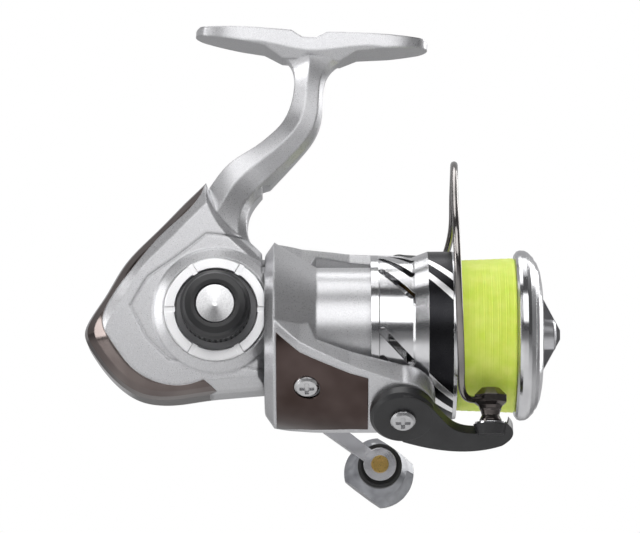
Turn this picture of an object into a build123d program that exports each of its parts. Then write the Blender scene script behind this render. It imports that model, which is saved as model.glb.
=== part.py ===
from build123d import *
import os
from math import cos, hypot, pi, radians, sin

os.makedirs("parts", exist_ok=True)

# All sizes are in millimetres.
# The reel is drawn in a working frame: +X forward along the spool's shaft, +Y towards the handle,
# +Z up towards the foot, with the origin on the shaft's axis beside the crank.
FOOT_TILT = 3.2          # angle between the foot's seat and the spool's shaft
SEAT_X = 24.75           # middle of the foot's seat in the working frame
SEAT_Z = 81.9
LAND_X = 14.5            # middle of the seat's front land, ahead of the dish, where the row's origin is
CRANK_X = -0.3           # crank axis, which runs along Y
CRANK_Z = 4.6
SHAFT_R = 1.5            # main shaft
PINION_BORE = 1.55
PINION_JOURNAL = 2.6
GEAR_TEETH = 43
PINION_TEETH = 9
PINION_PITCH_R = 2.355
DRIVE_TEETH = 14         # small gear on the crank, driving the oscillating gear
OSC_TEETH = 28
OSC_MODULE = 13.2 / 21
OSC_X = CRANK_X - 13.2   # axis of the oscillating gear
PIN_THROW = 7.0          # half the spool's stroke
ARM_ANGLE = 50.0         # rotor arm's direction below the horizontal, on the near side
BAIL_X = 48.6            # bail pivot along the shaft
LIP_R = 22.7
PORT_SLANT = 47.0        # slant of the skirt's ports and of the stripes on its band
SKIRT_R = 22.4
HANDLE_LEN = 55.0
HANDLE_DROP = 36.7       # angle of the handle arm below the forward direction
HANDLE_Y = 52.0          # near face of the handle arm
CLEAR = 0.05             # running clearance on a radius

NEAR_N = (0, -cos(radians(ARM_ANGLE)), -sin(radians(ARM_ANGLE)))
FAR_N = (0, cos(radians(ARM_ANGLE)), sin(radians(ARM_ANGLE)))
ARM = Plane(origin=(0, 0, 0), x_dir=(1, 0, 0), z_dir=NEAR_N).location
FAR_ARM = Plane(origin=(0, 0, 0), x_dir=(1, 0, 0), z_dir=FAR_N).location
ROW = Pos(-LAND_X, 0, 0) * Location((0, 0, 0), (0, -FOOT_TILT, 0)) * Pos(-SEAT_X, 0, -SEAT_Z)
BOTTOM = (Align.CENTER, Align.CENTER, Align.MIN)


# ---------------------------------------------------------------- helpers
def tube(radius, length, bore=0.0):
    """Upright cylinder or tube standing on z = 0."""
    solid = Cylinder(radius, length, align=BOTTOM)
    if bore > 0:
        solid -= Pos(0, 0, -1) * Cylinder(bore, length + 2, align=BOTTOM)
    return solid


def tube_x(x0, x1, radius, bore=0.0, y=0.0, z=0.0):
    """Tube along X from x0 to x1."""
    return Location((x0, y, z), (0, 90, 0)) * tube(radius, x1 - x0, bore)


def tube_y(y0, y1, radius, bore=0.0, x=CRANK_X, z=CRANK_Z):
    """Tube along Y from y0 to y1, on the crank axis unless told otherwise."""
    return Location((x, y0, z), (-90, 0, 0)) * tube(radius, y1 - y0, bore)


def turned_x(points):
    """Solid of revolution about X from (x, radius) points."""
    profile = make_face(Polyline(*points, close=True))
    return revolve(profile, axis=Axis.X)


def turned_z(points):
    """Solid of revolution about Z from (radius, z) points."""
    profile = make_face(Plane.XZ * Polyline(*points, close=True))
    return revolve(profile, axis=Axis.Z)


def turned_y(points, x=CRANK_X, z=CRANK_Z):
    """Solid of revolution about the crank axis from (radius, y) points."""
    return Location((x, 0, z), (-90, 0, 0)) * turned_z(points)


def plate_y(points, y0, y1):
    """Plate with an (x, z) outline, from y0 to y1."""
    outline = Plane.XZ.offset(-y0) * Polyline(*points, close=True)
    return extrude(make_face(outline), amount=y1 - y0, dir=(0, 1, 0))


def plate_z(points, z0, z1):
    """Plate with an (x, y) outline, from z0 to z1."""
    outline = Plane.XY.offset(z0) * Polyline(*points, close=True)
    return extrude(make_face(outline), amount=z1 - z0, dir=(0, 0, 1))


def around_x(shape, count, start=0.0):
    """Copies of a shape spaced evenly round the X axis."""
    return [Rot(start + 360 * i / count, 0, 0) * shape for i in range(count)]


def around_z(shape, count, start=0.0):
    """Copies of a shape spaced evenly round the Z axis."""
    return [Rot(0, 0, start + 360 * i / count) * shape for i in range(count)]


def fused(shapes):
    """One part from a list of shapes."""
    return Part() + list(shapes)


def spur_outline(teeth, module, phase):
    """Outline of a spur gear with generous backlash, phase in tooth pitches."""
    pitch_r = teeth * module / 2
    pitch = pi * module
    stations = [
        (pitch_r - 1.1 * module, 0.25 * pitch),
        (pitch_r, 0.185 * pitch),
        (pitch_r + 0.8 * module, 0.1 * pitch),
    ]
    points = []
    for i in range(teeth):
        middle = 2 * pi * (i + phase) / teeth
        for radius, half in stations:
            angle = middle - half / radius
            points.append((radius * cos(angle), radius * sin(angle)))
        for radius, half in reversed(stations):
            angle = middle + half / radius
            points.append((radius * cos(angle), radius * sin(angle)))
    return points


def cross_recess(size, depth):
    """Cutter for a cross-head screw, going down from z = 0."""
    bar = Box(size, size * 0.27, depth, align=(Align.CENTER, Align.CENTER, Align.MAX))
    return bar + Rot(0, 0, 90) * bar


def pan_screw(head_r, head_h, shank_r, shank_len):
    """Pan-head screw, the underside of its head on z = 0 and its shank below."""
    head = turned_z([
        (0, 0),
        (head_r, 0),
        (head_r, head_h * 0.45),
        (head_r * 0.8, head_h * 0.88),
        (head_r * 0.5, head_h),
        (0, head_h),
    ])
    shank = Pos(0, 0, -shank_len) * tube(shank_r, shank_len + 0.1)
    return head + shank - Pos(0, 0, head_h + 0.1) * cross_recess(head_r * 1.15, head_h * 0.6)


# ---------------------------------------------------------------- housing
BACK_CURVE = [
    (-0.1, -16.5),
    (-15.8, -18.1),
    (-20.5, -17.2),
    (-27.7, -12.4),
    (-33.4, -5.2),
    (-35.3, -0.4),
    (-34.2, 2.9),
    (-30.1, 9.3),
    (-25.3, 17.5),
    (-15.8, 27.7),
    (-9.1, 34.7),
    (-3.4, 40.3),
]
HOUSING_MIDDLE = (-8.0, 5.0)


def housing_face(y, shrink):
    """Section of the housing parallel to its side, shrunk about its middle."""
    back = Spline(*BACK_CURVE, tangents=[(-1, -0.1), (0.7, 0.7)])
    top = Spline((-3.4, 40.3), (-1.6, 36.0), (2.4, 30.0), (7.4, 25.2), (12.9, 19.6))
    front = Line((12.9, 19.6), (12.9, -15.4))
    bottom = Line((12.9, -15.4), (-0.1, -16.5))
    face = make_face([back, top, front, bottom])
    face = Pos(-HOUSING_MIDDLE[0], -HOUSING_MIDDLE[1], 0) * face
    face = Pos(HOUSING_MIDDLE[0], HOUSING_MIDDLE[1], 0) * scale(face, by=(shrink, shrink, 1))
    return Plane.XZ.offset(-y) * face


def housing_block():
    """Rounded block of the housing, before it is hollowed."""
    stations = [(5.5, 1.0), (9.0, 0.975), (11.6, 0.92), (13.2, 0.835)]
    block = extrude(housing_face(-5.5, 1.0), amount=11.0, dir=(0, 1, 0))
    for side in (-1, 1):
        for (y0, s0), (y1, s1) in zip(stations, stations[1:]):
            inner = housing_face(side * y0, s0).face()
            outer = housing_face(side * y1, s1).face()
            block += Solid.make_loft([inner.outer_wire(), outer.outer_wire()], True)
    return block


def stem():
    """Stem from inside the housing up to the foot, a bar with one ridge on each side."""
    stations = [
        # rear edge, front edge, half width at the ridge, half width at the edges
        ((-13.4, 25.0), (9.3, 22.6), 13.0, 9.5),
        ((-8.0, 31.4), (7.6, 28.4), 12.0, 7.6),
        ((-3.0, 38.2), (8.4, 33.4), 10.0, 5.4),
        ((1.65, 45.0), (11.8, 37.9), 7.6, 3.6),
        ((7.4, 49.5), (17.6, 44.0), 6.2, 2.7),
        ((13.6, 54.2), (22.9, 49.9), 5.4, 2.2),
        ((17.3, 58.3), (26.4, 55.3), 5.0, 2.0),
        ((19.3, 63.0), (27.7, 61.6), 4.8, 1.9),
        ((20.1, 67.9), (28.0, 67.6), 4.8, 2.0),
        ((19.7, 72.2), (29.7, 71.8), 5.2, 2.4),
        ((16.8, 75.6), (33.2, 74.6), 6.2, 3.2),
    ]
    wires = []
    for rear, front, wide, edge in stations:
        length = hypot(front[0] - rear[0], front[1] - rear[1])
        along = ((front[0] - rear[0]) / length, 0, (front[1] - rear[1]) / length)
        centre = ((rear[0] + front[0]) / 2, 0, (rear[1] + front[1]) / 2)
        plane = Plane(origin=centre, x_dir=along, z_dir=(-along[2], 0, along[0]))
        half = length / 2
        ridge = -0.12 * half
        line = 0.72 * half
        outline = Polyline(
            (-half, -edge),
            (ridge, -wide),
            (line, -0.8 * wide),
            (half, -edge),
            (half, edge),
            (line, 0.8 * wide),
            (ridge, wide),
            (-half, edge),
            close=True,
        )
        wires.append((plane * make_face(outline)).face().outer_wire())
    return Part() + Solid.make_loft(wires, False)


def foot():
    """Foot with a dished middle and two thin tapered toes."""
    tilt = Location((SEAT_X, 0, SEAT_Z), (0, FOOT_TILT, 0))
    profile = [
        (-31.2, -0.7),
        (-30.0, 0),
        (-5.5, 0),
        (-2.4, -1.7),
        (1.2, -1.7),
        (4.2, 0),
        (30.4, 0),
        (31.4, -0.7),
        (31.4, -2.4),
        (12.5, -4.8),
        (8.0, -7.4),
        (-7.5, -7.4),
        (-12.5, -4.6),
        (-31.2, -2.2),
    ]
    upper = Spline((-28.8, 4.8), (-14.0, 7.4), (0, 6.2), (14.0, 7.6), (29.0, 5.0))
    nose = ThreePointArc((29.0, 5.0), (31.4, 0), (29.0, -5.0))
    tail = ThreePointArc((-28.8, -4.8), (-31.2, 0), (-28.8, 4.8))
    plan = Pos(0, 0, -9) * make_face([upper, nose, mirror(upper, about=Plane.XZ), tail])
    block = plate_y(profile, -9, 9) & extrude(plan, amount=10, dir=(0, 0, 1))
    for side in (1, -1):
        wedge = Polyline((side * 3.2, -9), (side * 10, -9), (side * 10, -0.6), close=True)
        section = make_face(Plane.YZ.offset(-35) * wedge)
        block -= extrude(section, amount=70, dir=(1, 0, 0))
    return tilt * block


GUARD_INNER = [
    (-0.2, -16.2),
    (-3.6, -13.7),
    (-18.3, -13.4),
    (-22.3, -10.7),
    (-27.6, -3.9),
    (-30.3, 1.5),
    (-29.0, 6.9),
    (-22.3, 16.4),
    (-14.3, 25.9),
    (-7.6, 32.1),
    (-4.6, 36.2),
    (-3.2, 40.6),
]


def guard_region():
    """Everything behind the guard's front edge."""
    edge = Spline(*GUARD_INNER[1:-1])
    first = GUARD_INNER[1]
    last = GUARD_INNER[-2]
    closing = Polyline(last, GUARD_INNER[-1], (-50, 46), (-50, -30), GUARD_INNER[0], first)
    outline = make_face([edge, closing])
    return extrude(Plane.XZ.offset(16) * outline, amount=32, dir=(0, 1, 0))


def gear_cavity():
    """Room for the gears, slightly smaller than the block all round."""
    return plate_y(
        [
            (12.9, -12.4),
            (-15.0, -14.8),
            (-19.0, -14.4),
            (-25.6, -10.2),
            (-30.6, -3.4),
            (-31.4, -0.5),
            (-27.4, 7.2),
            (-22.6, 15.0),
            (-13.0, 24.6),
            (-6.0, 30.0),
            (0, 30.0),
            (4.4, 26.0),
            (7.0, 20.0),
            (10.0, 15.5),
            (12.9, 14.8),
        ],
        -10.2,
        10.2,
    )


def scale_about(shape, factor):
    """Copy of a shape scaled about the middle of the housing."""
    moved = Pos(-HOUSING_MIDDLE[0], 0, -HOUSING_MIDDLE[1]) * shape
    return Pos(HOUSING_MIDDLE[0], 0, HOUSING_MIDDLE[1]) * scale(moved, by=factor)


def largest(shape):
    """The biggest solid of a shape."""
    return Part() + max(shape.solids(), key=lambda solid: solid.volume)


PANEL_EDGE = [
    (11.0, 24.0),
    (-3.0, 25.2),
    (-10.0, 19.6),
    (-18.5, 13.6),
    (-22.8, 6.0),
    (-18.4, -2.6),
    (-12.4, -8.4),
    (12.0, -11.0),
]


def panel_groove(outer):
    """Shallow groove along the edge of the side panel."""
    line = offset(Polyline(*PANEL_EDGE), amount=0.28, side=Side.BOTH)
    band = extrude(Plane.XZ.offset(16) * make_face(line), amount=32, dir=(0, 1, 0))
    skin = outer - scale_about(outer, 0.982)
    return skin & band


def make_housing():
    """Housing, stem and foot as one casting, and the bright guard cut from its back."""
    outer = housing_block()
    upright = stem() - gear_cavity()
    skin = outer - Pos(0.8, 0, 0) * scale_about(outer, 0.945)
    guard = largest((skin & guard_region()) - upright)
    near_boss = turned_y([(0, -15.0), (13.95, -15.0), (16.4, -13.8), (18.0, -11.5), (0, -11.5)])
    far_boss = turned_y([(0, 11.5), (15.5, 11.5), (14.2, 13.6), (11.6, 14.8), (0, 14.8)])
    front_neck = tube_x(10.9, 17.2, 12.8)
    body = outer + near_boss + far_boss + front_neck
    body = body - gear_cavity() - guard - panel_groove(outer)
    body += upright
    body += foot()
    # room for the rotor's rim, the side plate, the gear disc and the far gear bearing
    body -= tube_x(11.6, 20, 40, 20.2)
    body -= tube_y(-16, -9, 13.2) + tube_y(-15.2, -12.9, 13.75)
    behind_front_wall = plate_y([(-20, -20), (12.9, -20), (12.9, 20), (-20, 20)], -11, 11)
    body -= tube_y(-10.3, 10.3, 13.3) & behind_front_wall
    body -= tube_y(9, 16, 5.05)
    # bore for the pinion and the seat of its bearing
    body -= tube_x(10, 18, 5.2) + tube_x(13.2, 18, 6.0)
    # post behind the gears that holds the pinion's rear bush
    body += plate_y([(4.8, -13.2), (7.0, -13.2), (7.0, 0), (4.8, 0)], -1.7, 2.8)
    body += tube_x(4.8, 7.0, 3.3) & plate_z([(4, -1.7), (8, -1.7), (8, 4), (4, 4)], -4, 4)
    body -= tube_x(4, 8, 2.8)
    # post that the oscillating gear turns on
    body += tube_y(6.5, 10.6, 2.4, 0, OSC_X)
    body -= tube_y(6.0, 9.0, 1.2, 0, OSC_X)
    return largest(body), guard


# ---------------------------------------------------------------- crank, gears and side cap
def make_engine_plate():
    """Screwed-in side plate with its six-notched bright ring, and the grey recess inside."""
    ring = turned_y([
        (10.7, -15.2),
        (11.0, -15.6),
        (13.4, -15.6),
        (13.7, -15.2),
        (13.7, -12.95),
        (10.7, -12.95),
    ])
    notch = Box(3.4, 1.4, 2, align=(Align.MAX, Align.CENTER, Align.MIN))
    notches = fused(around_z(Pos(14.2, 0, 15.1) * notch, 6))
    ring -= Location((CRANK_X, 0, CRANK_Z), (90, 0, 0)) * notches
    plate = turned_y([
        (5.05, -12.9),
        (10.65, -14.4),
        (10.65, -12.9),
        (13.15, -12.9),
        (13.15, -9.2),
        (12, -9.2),
        (12, -11.2),
        (5.05, -11.2),
    ])
    plate += tube_y(-11.4, -9.0, 6.2, 5.05)
    return ring, plate


def make_drive_gear():
    """Face gear with its hollow shaft and the small gear that drives the oscillation."""
    disc = tube_y(-4.5, -2.95, 13.1, 2.0)
    disc -= tube_y(-3.4, -2.9, 10.4, 6.5)
    profile = Plane.YZ.offset(10.3) * make_face(
        Polyline((-0.31, 0), (0.31, 0), (0.2, 1.0), (-0.2, 1.0), close=True)
    )
    rib = Pos(0, CRANK_Z, 0) * extrude(profile, amount=1.9, dir=(1, 0, 0))
    ribs = around_z(rib, GEAR_TEETH, 180 / GEAR_TEETH)
    ring = Location((CRANK_X, -2.95, CRANK_Z), (-90, 0, 0)) * fused(ribs)
    gear = disc + ring
    gear += tube_y(-13.6, 13.0, 2.75, 2.0)
    small = make_face(Polyline(*spur_outline(DRIVE_TEETH, OSC_MODULE, 0), close=True))
    small = extrude(small, amount=1.6, dir=(0, 0, 1)) - Pos(0, 0, -1) * Cylinder(2.0, 8)
    gear += Location((CRANK_X, 3.2, CRANK_Z), (-90, 0, 0)) * small
    return gear


def make_osc_gear():
    """Oscillating gear with its journal and the pin that points at the slider's slot."""
    outline = Polyline(*spur_outline(OSC_TEETH, OSC_MODULE, 0.5), close=True)
    wheel = extrude(make_face(outline), amount=1.5, dir=(0, 0, 1))
    wheel = Location((OSC_X, 3.25, CRANK_Z), (-90, 0, 0)) * wheel
    wheel += tube_y(4.7, 8.8, 1.15, 0, OSC_X)
    wheel += tube_y(2.8, 3.3, 0.9, 0, OSC_X + PIN_THROW)
    return wheel


def fold_pin():
    """Pin on which the handle arm folds."""
    return Location((CRANK_X, 50.0, CRANK_Z), (0, HANDLE_DROP, 0)) * Pos(0, 0, -3.6) * tube(0.8, 7.2)


def make_crank():
    """Handle shank on the crank axis, with its weather collar and the forked hinge at its end."""
    shank = tube_y(-13.0, 15.4, 1.95)
    shank += tube_y(15.4, 17.4, 4.6) + tube_y(17.4, 44.0, 3.1)
    shank += turned_y([(3.1, 17.4), (5.6, 17.4), (5.4, 19.4), (3.4, 22.5), (3.1, 22.5)])
    fork = Location((CRANK_X, 48.0, CRANK_Z), (0, HANDLE_DROP, 0)) * (
        Box(8.4, 9.0, 7.4) & Rot(90, 0, 0) * Cylinder(4.5, 12)
    )
    slot = Location((CRANK_X, 49.0, CRANK_Z), (0, HANDLE_DROP, 0)) * Box(12, 10, 3.7)
    return shank + fork - slot - fold_pin()


def make_handle_arm():
    """Tapered handle arm with an eye in the fork and a boss for the knob."""
    outline = [
        (-3.6, -1.8),
        (4.5, -1.8),
        (20, -2.6),
        (48, -2.0),
        (55, -2.0),
        (55, 2.0),
        (48, 2.0),
        (20, 2.6),
        (4.5, 1.8),
        (-3.6, 1.8),
    ]
    bar = plate_z(outline, -2.3, 0)
    bar = bar + Pos(HANDLE_LEN, 0, -2.9) * tube(4.6, 3.4)
    bar = fillet(bar.edges().filter_by(Axis.Z), 0.3)
    bar += plate_z([(-3.6, -1.8), (5.4, -1.8), (5.4, 1.8), (-3.6, 1.8)], -0.5, 4.5)
    bar -= Pos(HANDLE_LEN, 0, -6) * tube(2.4, 12)
    bar -= Location((0, 5, 2.0), (90, 0, 0)) * tube(0.85, 10)
    place = Location((CRANK_X, HANDLE_Y, CRANK_Z), (0, HANDLE_DROP, 0)) * Location((0, 0, 0), (90, 0, 0))
    return place * bar, place


def make_knob(place):
    """Axle with its bright end, the dark collar, the shaped grip and its end cap."""
    at_knob = place * Location((HANDLE_LEN, 0, 0), (180, 0, 0))
    axle = at_knob * (Pos(0, 0, -1.2) * tube(2.4, 4.4) + Pos(0, 0, 3.0) * tube(1.8, 19.0))
    axle -= at_knob * Pos(0, 0, -1.3) * tube(1.2, 0.6)
    collar = at_knob * (Pos(0, 0, 3.3) * tube(6.2, 2.6, 1.85) - Pos(0, 0, 3.3) * tube(5.2, 0.6, 3.2))
    grip_profile = [
        (5.6, 5.9),
        (6.2, 6.4),
        (5.2, 9.5),
        (5.4, 13.0),
        (8.4, 17.5),
        (9.9, 20.0),
        (9.9, 22.6),
        (8.2, 24.4),
        (3.6, 24.4),
        (3.6, 22.3),
        (1.85, 22.3),
        (1.85, 5.9),
    ]
    grip = turned_z(grip_profile)
    grip = grip & Box(19.8, 15.4, 60)
    for side in (1, -1):
        facet = Location((side * 10.6, 0, 21.0), (0, side * 32, 0)) * Box(3, 30, 12)
        grip -= facet
    grip = at_knob * grip
    cap = at_knob * Pos(0, 0, 22.35) * tube(3.5, 1.7)
    return axle, collar, grip, cap


def make_screw_cap():
    """Knurled cap on the near end of the crank, with its spun disc."""
    cap = turned_y([
        (0, -25.0),
        (6.4, -25.4),
        (7.9, -25.0),
        (8.5, -23.6),
        (9.2, -22.6),
        (9.2, -17.0),
        (8.2, -15.4),
        (2.0, -15.2),
        (2.0, -13.7),
        (0, -13.7),
    ])
    groove = Location((9.35, 0, 0), (0, 0, 45)) * Box(0.75, 0.75, 5.4, align=BOTTOM)
    grooves = fused(around_z(groove, 40))
    cap -= Location((CRANK_X, -22.4, CRANK_Z), (-90, 0, 0)) * grooves
    cap -= tube_y(-26, -24.6, 5.3)
    disc = turned_y([(0, -25.5), (4.9, -25.2), (5.25, -24.9), (5.25, -24.6), (0, -24.6)])
    return cap, disc


# ---------------------------------------------------------------- shaft, slider and spool
def guide_rods():
    """Two rods that keep the slider upright."""
    upper = tube_x(-25.4, 14.5, 1.2, 0, 0, 11.4)
    lower = tube_x(-30.6, 5.5, 1.2, 0, 0, -4.2)
    return upper, lower


def make_slider():
    """Crosshead clamped on the rear end of the main shaft, slotted for the driving pin."""
    outline = [(-9.2, -5.8), (-3.9, -5.8), (-3.9, 1.6), (-4.6, 13.2), (-8.6, 13.2), (-9.2, 1.6)]
    block = plate_y(outline, -1.85, 2.45)
    block -= plate_y([(-7.6, -3.8), (-5.4, -3.8), (-5.4, 12.2), (-7.6, 12.2)], 1.9, 3)
    block -= tube_x(-12, 0, SHAFT_R)
    block -= tube_x(-12, 0, 1.25, 0, 0, 11.4) + tube_x(-12, 0, 1.25, 0, 0, -4.2)
    return block


def make_pinion():
    """Nine-tooth pinion with the long neck that carries the rotor."""
    module = 2 * PINION_PITCH_R / PINION_TEETH
    teeth = make_face(Polyline(*spur_outline(PINION_TEETH, module, 0.75), close=True))
    body = Location((9.4, 0, 0), (0, 90, 0)) * extrude(teeth, amount=3.3, dir=(0, 0, 1))
    body += tube_x(4.6, 9.5, 2.0) + tube_x(12.6, 34.2, PINION_JOURNAL)
    return body - tube_x(4, 36, PINION_BORE)


def make_spool():
    """Ported skirt of the spool, and the shell with the line arbor and the drag chamber."""
    skirt = turned_x([
        (40.4, 19.0),
        (40.4, 21.3),
        (42.5, 21.3),
        (42.7, 21.1),
        (51.4, 20.7),
        (52.0, 21.0),
        (55.6, 22.35),
        (55.6, 21.8),
        (59.5, 21.8),
        (59.5, 19.0),
    ])
    shell = turned_x([
        (59.5, 21.8),
        (62.0, 21.8),
        (62.0, 22.4),
        (63.0, 22.2),
        (63.0, 14.0),
        (78.8, 14.0),
        (78.8, 20.4),
        (83.7, 20.4),
        (84.6, 19.4),
        (85.4, 17.4),
        (85.9, 14.8),
        (86.0, 12.8),
        (83.6, 12.0),
        (82.4, 11.2),
        (70.0, 11.2),
        (70.0, 2.2),
        (52.5, 2.2),
        (52.5, 5.5),
        (66.0, 5.5),
        (66.0, 12.2),
        (59.5, 12.2),
    ])
    port = extrude(SlotOverall(13.2, 1.9), amount=4, dir=(0, 0, 1))
    port = Location((47.2, 0, 18.5), (0, 0, -PORT_SLANT)) * port
    for place in range(3):
        for cutter in around_x(port, 4, 17 + 20 * place):
            skirt -= cutter
    return skirt, shell


def make_spool_trim():
    """Front lip, dark band and the bright stripes let into it, and the wound line."""
    lip = turned_x([
        (78.8, 20.4),
        (78.8, 21.6),
        (79.4, 22.4),
        (80.2, LIP_R),
        (81.5, 22.6),
        (82.4, 22.1),
        (83.1, 21.4),
        (83.7, 20.8),
        (83.7, 20.4),
    ])
    band = turned_x([(55.6, 21.8), (55.6, 22.35), (62.0, SKIRT_R), (62.0, 21.8)])
    bar = Location((58.8, 0, 22.0), (0, 0, -PORT_SLANT)) * Box(14, 1.7, 3)
    bars = around_x(bar, 4, 47) + around_x(bar, 4, 62.5)
    stripes = fused([band & cutter for cutter in bars])
    band -= stripes
    line = turned_x([
        (63.0, 14.0),
        (63.0, 20.0),
        (64.0, 20.15),
        (78.0, 20.7),
        (78.8, 20.5),
        (78.8, 14.0),
    ])
    return lip, band, stripes, line


def make_drag_knob():
    """Drag knob: a disc with a winged ridge across its front."""
    body = turned_x([
        (75.6, 4.2),
        (75.6, 10.6),
        (82.6, 10.6),
        (85.2, 9.5),
        (86.2, 8.8),
        (86.2, 0),
        (85.3, 0),
        (85.3, 4.2),
    ])
    wings = [(85.8, -9.25), (86.6, -9.1), (91.0, -1.2), (91.0, 1.2), (86.6, 9.1), (85.8, 9.25)]
    ridge = plate_y(wings, -3.2, 3.2)
    ridge &= plate_z([(85.8, -3.4), (91.0, -1.1), (91.0, 1.1), (85.8, 3.4)], -10, 10)
    hub = turned_x([(85.9, 0), (85.9, 5.4), (89.2, 4.4), (89.8, 3.6), (89.8, 0)])
    nut = tube_x(76.0, 80.0, 4.15, SHAFT_R)
    return body + ridge + hub, nut


# ---------------------------------------------------------------- rotor and bail
ARM_SKIN = [(12.6, 21.5), (14.9, 24.8), (25.0, 26.6), (36.0, 28.2), (47.0, 29.75), (57.4, 29.75)]
FAR_SKIN = [(12.6, 21.5), (14.9, 24.8), (26.0, 25.6), (40.0, 26.9), (48.0, 27.85), (54.0, 27.85)]


def flare(skin, lower=23.1):
    """Flared shell from which a rotor arm is cut."""
    last = skin[-1][0]
    return turned_x(skin + [(last, lower), (25.9, lower), (24.0, 19.0), (16.0, 21.8)])


def arm_plan(widths, pivot_r):
    """Plan of a rotor arm, narrowing to a round end at the bail pivot."""
    upper = [(x, w) for x, w in widths] + [(BAIL_X, pivot_r)]
    lower = [(x, -w) for x, w in reversed(upper)]
    return plate_z(upper + lower, 5, 40) + Pos(BAIL_X, 0, 5) * tube(pivot_r, 35)


def make_rotor():
    """Rotor cup with two arms, and the bright covers let into them."""
    cup = turned_x([
        (12.4, 20.8),
        (12.6, 21.5),
        (14.9, 24.8),
        (26.1, 18.05),
        (45.0, 18.05),
        (45.0, 16.6),
        (29.5, 16.6),
        (29.5, 2.65),
        (25.4, 2.65),
        (25.4, 5.0),
        (26.6, 5.0),
        (26.6, 15.0),
        (16.0, 21.6),
    ])
    near_plan = arm_plan([(12.4, 20.6), (21.7, 15.8), (35.0, 11.8)], 8.6)
    far_plan = arm_plan([(12.4, 17.0), (22.0, 10.8), (35.0, 6.8)], 4.6)
    near = ARM * (ARM.inverse() * flare(ARM_SKIN) & near_plan)
    far = FAR_ARM * (FAR_ARM.inverse() * flare(FAR_SKIN) & far_plan)
    rotor = cup + near + far
    inner_skin = [(x, r - 0.9) for x, r in ARM_SKIN[1:5]]
    shell = turned_x(ARM_SKIN[1:5] + list(reversed(inner_skin)))
    edge = [(15.6, 17.0), (21.7, 13.6), (35.0, 9.8), (39.6, 9.0)]
    cover_plan = plate_z(edge + [(x, -w) for x, w in reversed(edge)], 5, 40)
    cover = ARM * (ARM.inverse() * shell & cover_plan)
    rotor -= cover
    rotor -= ARM * plate_z([(28, -4), (41, -4), (41, 4), (28, 4)], 24.3, 26.0)
    seat = Location((23.6, 4.5, 25.0))
    cover -= ARM * seat * tube(3.5, 5)
    rotor -= ARM * seat * Pos(0, 0, -3) * tube(1.0, 4)
    rotor -= ARM * seat * tube(3.5, 5)
    rotor -= ARM * Pos(BAIL_X, 0, 20) * tube(1.9, 12)
    rotor -= FAR_ARM * Pos(BAIL_X, 0, 20) * tube(1.4, 12)
    return rotor, cover


def arm_screws():
    """Cover screw and the two bail pivot screws."""
    cover_screw = ARM * Pos(23.6, 4.5, 25.0) * pan_screw(3.3, 1.5, 1.0, 3.0)
    near_pivot = ARM * Pos(BAIL_X, 0, 33.3) * pan_screw(3.3, 1.5, 1.9, 9.0)
    far_pivot = FAR_ARM * Pos(BAIL_X, 0, 30.25) * pan_screw(2.2, 0.9, 1.4, 6.0)
    return cover_screw, near_pivot, far_pivot


ROLLER_X = 71.5
ROLLER_AXIS = Plane(
    origin=(ROLLER_X, -1.64, 29.96), x_dir=(1, 0, 0), z_dir=(0, 0.643, -0.766)
).location


def make_bail_arm():
    """Curved arm from the pivot hub to the roller's seat."""
    hub = Pos(BAIL_X, 0, 29.9) * tube(8.6, 3.3)
    hub = chamfer(hub.edges().sort_by(Axis.Z)[-1], 1.0)
    upper = Spline((48.6, 8.0), (57.0, 2.6), (63.0, -4.2), (69.0, -5.0), (75.6, -1.4))
    tip = Spline((75.6, -1.4), (77.4, -4.6), (74.6, -9.4))
    lower = Spline((74.6, -9.4), (66.0, -11.4), (57.0, -10.6), (48.6, -8.0))
    back = Line((48.6, -8.0), (48.6, 8.0))
    horn = extrude(Pos(0, 0, 29.95) * make_face([upper, tip, lower, back]), amount=3.2, dir=(0, 0, 1))
    seat = ROLLER_AXIS * Pos(0, 0, -5.0) * Cone(3.4, 4.5, 2.7, align=BOTTOM)
    arm = hub + horn + seat
    arm -= ROLLER_AXIS * Pos(0, 0, -2.3) * tube(4.6, 5.0)
    arm -= ROLLER_AXIS * Pos(0, 0, -4.0) * tube(1.0, 3.0)
    arm -= Pos(BAIL_X, 0, 29) * tube(1.95, 6)
    return arm


def make_roller_parts():
    """Washer, roller, axle and the faceted cone at the end of the bail wire."""
    washer = ROLLER_AXIS * Pos(0, 0, -2.3) * tube(4.1, 0.55, 1.0)
    roller = ROLLER_AXIS * turned_z([
        (1.05, -1.65),
        (2.9, -1.65),
        (2.9, -1.1),
        (2.3, 0.1),
        (2.6, 1.3),
        (2.9, 1.65),
        (1.05, 1.65),
    ])
    axle = ROLLER_AXIS * Pos(0, 0, -4.0) * tube(1.0, 7.0)
    stations = [(1.75, 3.0), (2.6, 3.3), (3.5, 4.5), (5.3, 4.5), (7.3, 2.4)]
    wires = []
    for height, radius in stations:
        section = RegularPolygon(radius, 8, major_radius=True, rotation=22.5)
        wires.append((Pos(0, 0, height) * section).face().outer_wire())
    cone = Part() + Solid.make_loft(wires, True)
    cone -= tube(1.0, 3.0)
    return washer, roller, axle, ROLLER_AXIS * cone


def bail_loop(turn):
    """Point of the bail's squarish loop, turn going from 0 at the near end to 1 at the far end."""
    angle = pi * turn
    reach = 48.5 * sin(angle) ** (2 / 2.8)
    span = 29.5 * abs(cos(angle)) ** (2 / 2.8)
    side = 1 if turn < 0.5 else -1
    lean = 2.1 * sin(min(angle, pi / 2)) - 0.9 * max(0.0, -cos(angle))
    return (63.9 - lean, reach, side * span)


def make_bail_wire():
    """Round wire from the cone over the front of the spool to the far holder."""
    path_points = [(68.4, 1.12, 26.67), (65.8, 2.5, 27.9)]
    path_points += [bail_loop(0.05 + 0.9 * i / 14) for i in range(15)]
    path_points += [(61.7, 5.4, -29.5), (60.4, 1.9, -29.3), (57.8, 0.3, -29.2)]
    path = Spline(*path_points)
    start = Plane(origin=path @ 0, z_dir=path % 0)
    return sweep(start * Circle(0.95), path=path)


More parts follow.
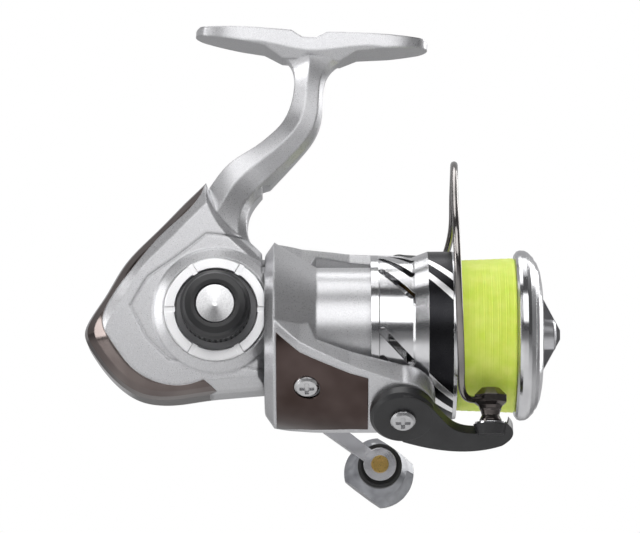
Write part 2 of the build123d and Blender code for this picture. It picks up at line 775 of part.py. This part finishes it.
def make_far_holder():
    """Pivot plate that carries the far end of the bail wire."""
    plate = Pos(BAIL_X, 0, -30.2) * tube(3.0, 2.2)
    outline = [(48.6, -2.9), (55, -1.9), (60.2, -0.6), (60.2, 2.6), (55, 2.4), (48.6, 2.9)]
    bar = plate_z(outline, -30.2, -28.2)
    return plate + bar - Pos(BAIL_X, 0, -31) * tube(1.45, 4)


def bail_spring():
    """Small bail spring in the arm's pocket, with its guide pin."""
    path = Helix(pitch=1.0, height=9.0, radius=0.62)
    coil = sweep(Plane(origin=path @ 0, z_dir=path % 0) * Circle(0.16), path=path)
    place = ARM * Location((29.5, 0, 25.15), (0, 90, 0))
    pin = place * Pos(0, 0, -0.6) * tube(0.4, 11.0)
    return place * coil, pin


# ---------------------------------------------------------------- clutch, drag and the nodes
def clutch_parts():
    """One-way clutch: sleeve on the pinion, rollers, outer ring and its screws."""
    sleeve = tube_x(17.3, 25.3, 5.0, PINION_JOURNAL)
    rollers = fused(around_x(tube_x(18.2, 23.8, 1.05, 0, 0, 6.15), 6))
    ring = tube_x(17.3, 24.8, 10.6, 7.3) + tube_x(24.0, 24.8, 10.6, 5.2)
    screws = []
    for i in range(3):
        turn = Rot(30 + 120 * i, 0, 0)
        ring -= turn * tube_x(17, 26, 0.9, 0, 0, 9.0)
        screw = Location((24.8, 0, 9.0), (0, 90, 0)) * pan_screw(1.5, 0.7, 0.9, 9.5)
        screws.append(turn * screw)
    return sleeve, rollers, ring, fused(screws)


def drag_stack():
    """Metal washers keyed to the shaft, felt washers and the retaining ring."""
    metal = tube_x(71.1, 72.0, 10.6, SHAFT_R) + tube_x(73.1, 74.0, 10.6, SHAFT_R)
    felt = tube_x(70.0, 71.05, 10.9, 2.4) + tube_x(72.05, 73.05, 10.9, 2.4)
    ring = tube_x(74.2, 74.8, 11.15, 10.0)
    return metal, felt, ring


def build():
    """Every node of the reel by name."""
    nodes = {}
    body, guard = make_housing()
    upper_rod, lower_rod = guide_rods()
    sleeve, rollers, ring, clutch_screws = clutch_parts()
    body -= upper_rod + lower_rod + clutch_screws
    nodes["housing"] = body
    nodes["rear_guard"] = guard
    nodes["guide_rod_upper"] = upper_rod
    nodes["guide_rod_lower"] = lower_rod
    nodes["bezel_ring"], nodes["engine_plate"] = make_engine_plate()
    nodes["gear_bearing_near"] = tube_y(-12.7, -9.2, 5.0, 2.8)
    nodes["gear_bearing_far"] = tube_y(9.4, 12.9, 5.0, 2.8)
    nodes["pinion_bearing"] = tube_x(13.3, 16.8, 5.95, PINION_JOURNAL + CLEAR)
    nodes["pinion_bush"] = tube_x(4.8, 7.0, 2.8, 2.05)
    nodes["clutch_ring"] = ring
    nodes["clutch_rollers"] = rollers
    nodes["clutch_screws"] = clutch_screws
    nodes["drive_gear"] = make_drive_gear()
    nodes["handle_shank"] = make_crank()
    arm, place = make_handle_arm()
    nodes["handle_arm"] = arm
    nodes["fold_pin"] = fold_pin()
    axle, collar, grip, cap = make_knob(place)
    nodes["knob_axle"] = axle
    nodes["knob_collar"] = collar
    nodes["knob_grip"] = grip
    nodes["knob_cap"] = cap
    nodes["screw_cap"], nodes["cap_disc"] = make_screw_cap()
    nodes["osc_gear"] = make_osc_gear()
    nodes["slider"] = make_slider()
    nodes["main_shaft"] = tube_x(-9.2, 85.0, SHAFT_R)
    nodes["spool_support"] = tube_x(49.0, 50.2, 4.0, SHAFT_R)
    nodes["click_wheel"] = tube_x(50.2, 51.4, 8.0, SHAFT_R)
    nodes["spool_skirt"], nodes["spool_shell"] = make_spool()
    nodes["spool_bush"] = tube_x(53.0, 69.0, 2.2, SHAFT_R + CLEAR)
    lip, band, stripes, line = make_spool_trim()
    nodes["spool_lip"] = lip
    nodes["skirt_band"] = band
    nodes["band_stripes"] = stripes
    nodes["line_fill"] = line
    nodes["drag_metal"], nodes["drag_felt"], nodes["drag_ring"] = drag_stack()
    nodes["drag_knob"], nodes["drag_nut"] = make_drag_knob()
    cover_screw, near_pivot, far_pivot = arm_screws()
    rotor, cover = make_rotor()
    nodes["rotor"] = rotor
    nodes["arm_cover"] = cover - cover_screw
    nodes["pinion"] = make_pinion()
    nodes["clutch_sleeve"] = sleeve
    nodes["rotor_nut"] = tube_x(29.6, 33.4, 5.0, PINION_JOURNAL)
    nodes["cover_screw"] = cover_screw
    nodes["bail_screw_near"] = near_pivot
    nodes["bail_screw_far"] = far_pivot
    nodes["bail_spring"], nodes["spring_pin"] = bail_spring()
    nodes["bail_arm"] = ARM * make_bail_arm()
    washer, roller, axle, cone = make_roller_parts()
    wire = make_bail_wire()
    holder = make_far_holder()
    wire = wire - cone
    holder = holder - wire
    nodes["roller_washer"] = ARM * washer
    nodes["line_roller"] = ARM * roller
    nodes["roller_axle"] = ARM * axle
    nodes["bail_cone"] = ARM * cone
    nodes["bail_wire"] = ARM * wire
    nodes["bail_holder"] = ARM * holder
    return nodes


for name, shape in build().items():
    solid = ROW * shape
    print(name, len(solid.solids()), round(solid.volume, 1), solid.is_valid)
    export_step(solid, f"parts/{name}.step")
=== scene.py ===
import math

import bmesh
import bpy
from mathutils import Matrix, Vector


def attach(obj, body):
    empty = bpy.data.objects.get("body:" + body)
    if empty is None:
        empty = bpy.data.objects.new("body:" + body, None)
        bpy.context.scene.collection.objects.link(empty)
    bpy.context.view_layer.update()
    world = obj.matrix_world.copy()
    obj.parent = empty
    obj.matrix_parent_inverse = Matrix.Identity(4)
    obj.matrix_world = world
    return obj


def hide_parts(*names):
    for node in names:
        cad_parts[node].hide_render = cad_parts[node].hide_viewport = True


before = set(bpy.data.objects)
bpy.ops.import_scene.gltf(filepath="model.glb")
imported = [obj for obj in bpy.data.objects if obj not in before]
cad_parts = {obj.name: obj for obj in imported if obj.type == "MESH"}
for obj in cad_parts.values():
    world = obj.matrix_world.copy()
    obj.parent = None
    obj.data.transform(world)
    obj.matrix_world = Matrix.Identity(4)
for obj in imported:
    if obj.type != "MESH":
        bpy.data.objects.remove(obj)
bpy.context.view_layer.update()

# The working frame of the design, in mm: +X along the spool's shaft, +Y to the handle, +Z to the foot.
# TO_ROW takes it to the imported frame, whose origin is on the front land of the foot's seat.
MM = 0.001
FOOT_TILT = math.radians(3.2)
SEAT = Vector((24.75, 0.0, 81.9))
LAND = Vector((14.5, 0.0, 0.0))
LEVEL_FOOT = Matrix.Rotation(-FOOT_TILT, 4, "Y")
TO_ROW = Matrix.Translation(-LAND * MM) @ LEVEL_FOOT @ Matrix.Translation(-SEAT * MM)

# Wound line: where it starts and ends along the shaft, and its radius at the start.
LINE_START = 63.02
LINE_END = 78.78
LINE_RADIUS = 19.95
LINE_TAPER = 0.58
WRAPS = 74
STEPS_PER_WRAP = 4
POINTS_AROUND = 144

# Floor and camera.
FLOOR_HEIGHT = -0.34
FLOOR_HALF = 6.0
CAMERA_RISE = math.radians(10.0)
CAMERA_DISTANCE = 980.0
CAMERA_CENTRE = 27.04
CAMERA_LIFT = 18.4
LENS = 206.7
LIGHT_TARGET = (25, 0, 20)


# ---------------------------------------------------------------- node helpers
def new_material(name):
    """Empty node material with a principled shader wired to the output."""
    material = bpy.data.materials.new(name)
    material.use_nodes = True
    tree = material.node_tree
    tree.nodes.clear()
    output = tree.nodes.new("ShaderNodeOutputMaterial")
    shader = tree.nodes.new("ShaderNodeBsdfPrincipled")
    tree.links.new(shader.outputs["BSDF"], output.inputs["Surface"])
    return material, tree, shader


def coordinates(tree):
    """Object coordinates, in metres."""
    return tree.nodes.new("ShaderNodeTexCoord").outputs["Object"]


def noise(tree, scale, detail=3.0, roughness=0.5):
    """Noise texture value at a scale in cells per metre."""
    node = tree.nodes.new("ShaderNodeTexNoise")
    node.inputs["Scale"].default_value = scale
    node.inputs["Detail"].default_value = detail
    node.inputs["Roughness"].default_value = roughness
    tree.links.new(coordinates(tree), node.inputs["Vector"])
    return node.outputs["Fac"]


def ramp(tree, value, low, high, start=0.3, end=0.7):
    """Colour ramp between two colours."""
    node = tree.nodes.new("ShaderNodeValToRGB")
    node.color_ramp.elements[0].position = start
    node.color_ramp.elements[1].position = end
    node.color_ramp.elements[0].color = (*low, 1)
    node.color_ramp.elements[1].color = (*high, 1)
    tree.links.new(value, node.inputs["Fac"])
    return node.outputs["Color"]


def spread(tree, value, low, high):
    """Value mapped from 0..1 to low..high."""
    node = tree.nodes.new("ShaderNodeMapRange")
    node.inputs["To Min"].default_value = low
    node.inputs["To Max"].default_value = high
    tree.links.new(value, node.inputs["Value"])
    return node.outputs["Result"]


def bump(tree, shader, height, strength, distance, edge=0.0):
    """Bump on a shader, with edges rounded by edge metres."""
    node = tree.nodes.new("ShaderNodeBump")
    node.inputs["Strength"].default_value = strength
    node.inputs["Distance"].default_value = distance
    tree.links.new(height, node.inputs["Height"])
    if edge > 0:
        soft = tree.nodes.new("ShaderNodeBevel")
        soft.samples = 4
        soft.inputs["Radius"].default_value = edge
        tree.links.new(soft.outputs["Normal"], node.inputs["Normal"])
    tree.links.new(node.outputs["Normal"], shader.inputs["Normal"])


def metal(name, dark, light, rough, grain=3000.0, relief=0.08, edge=0.00025):
    """Metal whose colour and roughness vary with a fine grain."""
    material, tree, shader = new_material(name)
    fine = noise(tree, grain, 4.0)
    broad = noise(tree, 90.0, 2.0)
    tree.links.new(ramp(tree, broad, dark, light), shader.inputs["Base Color"])
    tree.links.new(spread(tree, fine, rough * 0.75, rough * 1.3), shader.inputs["Roughness"])
    shader.inputs["Metallic"].default_value = 1.0
    bump(tree, shader, fine, relief, 0.00003, edge)
    return material


def flake_paint():
    """Silver paint with fine metal flakes under a thin clear coat."""
    material, tree, shader = new_material("flake_paint")
    cells = tree.nodes.new("ShaderNodeTexVoronoi")
    cells.inputs["Scale"].default_value = 8000.0
    tree.links.new(coordinates(tree), cells.inputs["Vector"])
    sparkle = tree.nodes.new("ShaderNodeSeparateColor")
    tree.links.new(cells.outputs["Color"], sparkle.inputs["Color"])
    flakes = ramp(tree, sparkle.outputs["Red"], (0.50, 0.50, 0.515), (0.62, 0.62, 0.635), 0.1, 0.9)
    tree.links.new(flakes, shader.inputs["Base Color"])
    shader.inputs["Metallic"].default_value = 0.75
    tree.links.new(spread(tree, sparkle.outputs["Green"], 0.27, 0.38), shader.inputs["Roughness"])
    shader.inputs["Coat Weight"].default_value = 0.2
    shader.inputs["Coat Roughness"].default_value = 0.15
    bump(tree, shader, sparkle.outputs["Blue"], 0.03, 0.00004, 0.0009)
    return material


def turned_metal(name, dark, light, rough, axis, rings=5200.0, relief=0.25, edge=0.0002):
    """Lathe-turned metal with fine rings round an axis of the working frame."""
    material, tree, shader = new_material(name)
    wave = tree.nodes.new("ShaderNodeTexWave")
    wave.wave_type = "BANDS"
    wave.bands_direction = axis
    wave.inputs["Scale"].default_value = rings
    wave.inputs["Distortion"].default_value = 0.6
    wave.inputs["Detail"].default_value = 1.0
    tree.links.new(coordinates(tree), wave.inputs["Vector"])
    tree.links.new(ramp(tree, noise(tree, 160.0), dark, light), shader.inputs["Base Color"])
    tree.links.new(spread(tree, wave.outputs["Fac"], rough * 0.8, rough * 1.25), shader.inputs["Roughness"])
    shader.inputs["Metallic"].default_value = 1.0
    bump(tree, shader, wave.outputs["Fac"], relief, 0.00001, edge)
    return material


def spun_metal():
    """Disc with a radial spun finish, which shows bright fans."""
    material, tree, shader = new_material("spun_disc")
    tangent = tree.nodes.new("ShaderNodeTangent")
    tangent.direction_type = "RADIAL"
    tangent.axis = "Y"
    tree.links.new(tangent.outputs["Tangent"], shader.inputs["Tangent"])
    tone = ramp(tree, noise(tree, 2500.0), (0.62, 0.62, 0.63), (0.80, 0.80, 0.81))
    tree.links.new(tone, shader.inputs["Base Color"])
    shader.inputs["Metallic"].default_value = 1.0
    shader.inputs["Roughness"].default_value = 0.34
    shader.inputs["Anisotropic"].default_value = 0.85
    return material


def plastic(name, dark, light, rough, relief=0.15, grain=2600.0, edge=0.0003):
    """Moulded plastic with a faint orange peel."""
    material, tree, shader = new_material(name)
    fine = noise(tree, grain, 3.0)
    tree.links.new(ramp(tree, noise(tree, 120.0), dark, light), shader.inputs["Base Color"])
    tree.links.new(spread(tree, fine, rough * 0.8, rough * 1.25), shader.inputs["Roughness"])
    bump(tree, shader, fine, relief, 0.00004, edge)
    return material


def smoky_plastic():
    """Smoky, slightly see-through plastic of the knob."""
    material, tree, shader = new_material("smoky_grip")
    cloud = noise(tree, 180.0, 2.0)
    tree.links.new(ramp(tree, cloud, (0.20, 0.205, 0.225), (0.40, 0.41, 0.44)), shader.inputs["Base Color"])
    tree.links.new(spread(tree, noise(tree, 1500.0), 0.10, 0.20), shader.inputs["Roughness"])
    shader.inputs["Transmission Weight"].default_value = 0.15
    shader.inputs["Metallic"].default_value = 0.25
    shader.inputs["IOR"].default_value = 1.5
    shader.inputs["Coat Weight"].default_value = 0.3
    bump(tree, shader, noise(tree, 400.0), 0.05, 0.0001, 0.0004)
    return material


def braided_line():
    """Bright yellow-green braid."""
    material, tree, shader = new_material("braided_line")
    weave = noise(tree, 5200.0, 2.0)
    tint = noise(tree, 260.0, 3.0)
    tree.links.new(ramp(tree, tint, (0.70, 0.86, 0.08), (0.82, 0.93, 0.17)), shader.inputs["Base Color"])
    tree.links.new(spread(tree, weave, 0.45, 0.7), shader.inputs["Roughness"])
    shader.inputs["Subsurface Weight"].default_value = 0.15
    shader.inputs["Subsurface Scale"].default_value = 0.0006
    shader.inputs["Sheen Weight"].default_value = 0.2
    bump(tree, shader, weave, 0.3, 0.00004)
    return material


# ---------------------------------------------------------------- materials on the carried-over nodes
def dress(material, *names):
    """Gives every slot of the named CAD nodes one material."""
    for name in names:
        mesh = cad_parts[name].data
        mesh.materials.clear()
        mesh.materials.append(material)


steel = metal("ground_steel", (0.50, 0.50, 0.51), (0.66, 0.66, 0.67), 0.25)
mirror = metal("dark_mirror", (0.13, 0.105, 0.10), (0.21, 0.18, 0.17), 0.12, 900.0, 0.02, 0.0004)
smoked = metal("smoked_cover", (0.055, 0.038, 0.034), (0.10, 0.075, 0.07), 0.07, 900.0, 0.02, 0.0004)
polished = turned_metal("polished_rings", (0.60, 0.60, 0.615), (0.72, 0.72, 0.735), 0.13, "X")
bright = metal("bright_aluminium", (0.80, 0.80, 0.81), (0.92, 0.92, 0.93), 0.30, 4000.0, 0.06)
knob_silver = metal("satin_silver", (0.46, 0.46, 0.48), (0.62, 0.62, 0.64), 0.30, 4200.0, 0.10, 0.0005)
arm_polish = metal("arm_polish", (0.66, 0.66, 0.68), (0.80, 0.80, 0.82), 0.10, 1500.0, 0.03)
gunmetal = metal("gunmetal", (0.055, 0.048, 0.046), (0.13, 0.115, 0.11), 0.16, 1800.0, 0.05)
wire_steel = metal("wire_steel", (0.20, 0.19, 0.185), (0.34, 0.32, 0.31), 0.14, 1800.0, 0.04)
brass = metal("turned_brass", (0.62, 0.40, 0.12), (0.78, 0.55, 0.20), 0.28)
anodised = metal("black_anodised", (0.012, 0.012, 0.014), (0.03, 0.03, 0.033), 0.28, 4200.0, 0.06)
black = plastic("satin_black", (0.010, 0.010, 0.011), (0.024, 0.024, 0.026), 0.34)
rubber = plastic("dark_collar", (0.02, 0.02, 0.021), (0.045, 0.045, 0.047), 0.5)
recess = plastic("grey_recess", (0.20, 0.20, 0.21), (0.30, 0.30, 0.31), 0.45)
felt = plastic("felt_disc", (0.05, 0.05, 0.05), (0.10, 0.10, 0.10), 0.9, 0.6, 3600.0)

dress(flake_paint(), "housing", "rotor")
dress(mirror, "rear_guard")
dress(smoked, "arm_cover")
dress(steel, "guide_rod_upper", "guide_rod_lower", "gear_bearing_near", "gear_bearing_far")
dress(steel, "pinion_bearing", "clutch_ring", "clutch_rollers", "clutch_screws", "clutch_sleeve")
dress(steel, "fold_pin", "main_shaft", "drag_metal", "drag_ring", "bail_spring", "spring_pin")
dress(steel, "cover_screw", "bail_screw_near", "bail_screw_far", "roller_axle")
dress(bright, "bezel_ring", "drive_gear", "osc_gear", "slider", "band_stripes")
dress(recess, "engine_plate")
dress(brass, "pinion", "pinion_bush", "spool_bush", "drag_nut", "rotor_nut", "knob_axle")
dress(arm_polish, "handle_shank", "handle_arm", "knob_cap", "roller_washer")
dress(rubber, "knob_collar", "spool_support", "click_wheel")
dress(smoky_plastic(), "knob_grip")
dress(black, "screw_cap", "bail_arm", "bail_holder")
dress(spun_metal(), "cap_disc")
dress(polished, "spool_shell", "spool_skirt", "spool_lip")
dress(anodised, "skirt_band")
dress(felt, "drag_felt")
dress(knob_silver, "drag_knob")
dress(gunmetal, "line_roller", "bail_cone")
dress(wire_steel, "bail_wire")


# ---------------------------------------------------------------- wound line
def wound_line():
    """Spool of line, wrap beside wrap, with slight unevenness between wraps."""
    mesh = bpy.data.meshes.new("wound_line")
    bm = bmesh.new()
    rings = []
    count = WRAPS * STEPS_PER_WRAP
    for i in range(count + 1):
        along = i / count
        x = LINE_START + (LINE_END - LINE_START) * along
        wrap = i / STEPS_PER_WRAP
        lift = 0.07 * abs(math.sin(math.pi * wrap))
        uneven = 0.035 * math.sin(12.9 * int(wrap)) * math.sin(4.1 * int(wrap) + 1.0)
        shoulder = min(1.0, along / 0.03, (1 - along) / 0.03)
        radius = LINE_RADIUS + LINE_TAPER * along + lift + uneven - 0.5 * (1 - shoulder) ** 2
        ring = []
        for k in range(POINTS_AROUND):
            turn = 2 * math.pi * k / POINTS_AROUND
            wander = 0.03 * math.sin(3 * turn + 0.7 * int(wrap))
            reach = radius + wander
            point = Vector((x, reach * math.cos(turn), reach * math.sin(turn)))
            ring.append(bm.verts.new(TO_ROW @ (point * MM)))
        rings.append(ring)
    for first, second in zip(rings, rings[1:]):
        for k in range(POINTS_AROUND):
            following = (k + 1) % POINTS_AROUND
            bm.faces.new((first[k], second[k], second[following], first[following]))
    bm.normal_update()
    for face in bm.faces:
        face.smooth = True
    bm.to_mesh(mesh)
    bm.free()
    piece = bpy.data.objects.new("wound_line", mesh)
    bpy.context.collection.objects.link(piece)
    mesh.materials.append(braided_line())
    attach(piece, "spool")
    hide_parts("line_fill")
    return piece


wound_line()


# ---------------------------------------------------------------- stage, light and camera
def world_light():
    """White surroundings for the camera, lit pale behind the reel and dark on the viewer's side."""
    world = bpy.data.worlds.new("studio")
    bpy.context.scene.world = world
    world.use_nodes = True
    tree = world.node_tree
    tree.nodes.clear()
    output = tree.nodes.new("ShaderNodeOutputWorld")
    direction = tree.nodes.new("ShaderNodeTexCoord")
    split = tree.nodes.new("ShaderNodeSeparateXYZ")
    tree.links.new(direction.outputs["Generated"], split.inputs["Vector"])
    depth = spread(tree, split.outputs["Y"], 0.0, 1.0)
    depth.node.inputs["From Min"].default_value = -1.0
    band = tree.nodes.new("ShaderNodeValToRGB")
    tree.links.new(depth, band.inputs["Fac"])
    band.color_ramp.elements[0].position = 0.0
    band.color_ramp.elements[0].color = (0.10, 0.10, 0.105, 1)
    band.color_ramp.elements[1].position = 1.0
    band.color_ramp.elements[1].color = (0.60, 0.60, 0.61, 1)
    for place, grey in ((0.20, 0.09), (0.42, 0.14), (0.56, 0.34), (0.70, 0.56)):
        stop = band.color_ramp.elements.new(place)
        stop.color = (grey, grey, grey * 1.01, 1)
    soft = tree.nodes.new("ShaderNodeBackground")
    soft.inputs["Strength"].default_value = 0.8
    tree.links.new(band.outputs["Color"], soft.inputs["Color"])
    white = tree.nodes.new("ShaderNodeBackground")
    white.inputs["Color"].default_value = (1, 1, 1, 1)
    white.inputs["Strength"].default_value = 1.0
    path = tree.nodes.new("ShaderNodeLightPath")
    mix = tree.nodes.new("ShaderNodeMixShader")
    tree.links.new(path.outputs["Is Camera Ray"], mix.inputs["Fac"])
    tree.links.new(soft.outputs["Background"], mix.inputs[1])
    tree.links.new(white.outputs["Background"], mix.inputs[2])
    tree.links.new(mix.outputs["Shader"], output.inputs["Surface"])


def floor():
    """Plain pale floor well below the reel."""
    mesh = bpy.data.meshes.new("floor")
    bm = bmesh.new()
    bmesh.ops.create_grid(bm, x_segments=2, y_segments=2, size=FLOOR_HALF)
    bm.to_mesh(mesh)
    bm.free()
    piece = bpy.data.objects.new("floor", mesh)
    piece.location = (0, 0, FLOOR_HEIGHT)
    bpy.context.collection.objects.link(piece)
    pale = plastic("pale_floor", (0.80, 0.80, 0.80), (0.84, 0.84, 0.84), 0.6, 0.02, 60.0, 0.0)
    mesh.materials.append(pale)


def area_light(name, place, width, height, power):
    """Soft box at a place of the working frame, in mm, aimed at the middle of the reel."""
    data = bpy.data.lights.new(name, "AREA")
    data.shape = "RECTANGLE"
    data.size = width
    data.size_y = height
    data.energy = power
    light = bpy.data.objects.new(name, data)
    bpy.context.collection.objects.link(light)
    position = TO_ROW @ (Vector(place) * MM)
    aim = TO_ROW @ (Vector(LIGHT_TARGET) * MM)
    light.location = position
    light.rotation_euler = (aim - position).to_track_quat("-Z", "Y").to_euler()


def camera():
    """Long lens square to the reel's side, slightly below it and looking up."""
    ahead = Vector((0, math.cos(CAMERA_RISE), math.sin(CAMERA_RISE)))
    up = Vector((0, -math.sin(CAMERA_RISE), math.cos(CAMERA_RISE)))
    right = Vector((1, 0, 0))
    target = Vector((CAMERA_CENTRE, 0, 0)) + CAMERA_LIFT * up
    place = (target - CAMERA_DISTANCE * ahead) * MM
    turn = Matrix((right, up, -ahead)).transposed().to_4x4()
    data = bpy.data.cameras.new("camera")
    data.sensor_width = 36.0
    data.lens = LENS
    data.clip_start = 0.05
    data.clip_end = 20.0
    cam = bpy.data.objects.new("camera", data)
    bpy.context.collection.objects.link(cam)
    cam.matrix_world = TO_ROW @ Matrix.Translation(place) @ turn
    bpy.context.scene.camera = cam


world_light()
floor()
area_light("key", (60, -760, 440), 1.0, 0.62, 4.2)
area_light("left", (-700, -360, 160), 0.30, 0.6, 2.4)
area_light("top", (-60, 60, 760), 0.8, 0.5, 3.0)
area_light("low", (60, -420, -600), 0.7, 0.16, 0.8)
area_light("rim", (560, 420, 260), 0.3, 0.6, 2.0)
camera()
bpy.context.scene.view_settings.view_transform = "Standard"
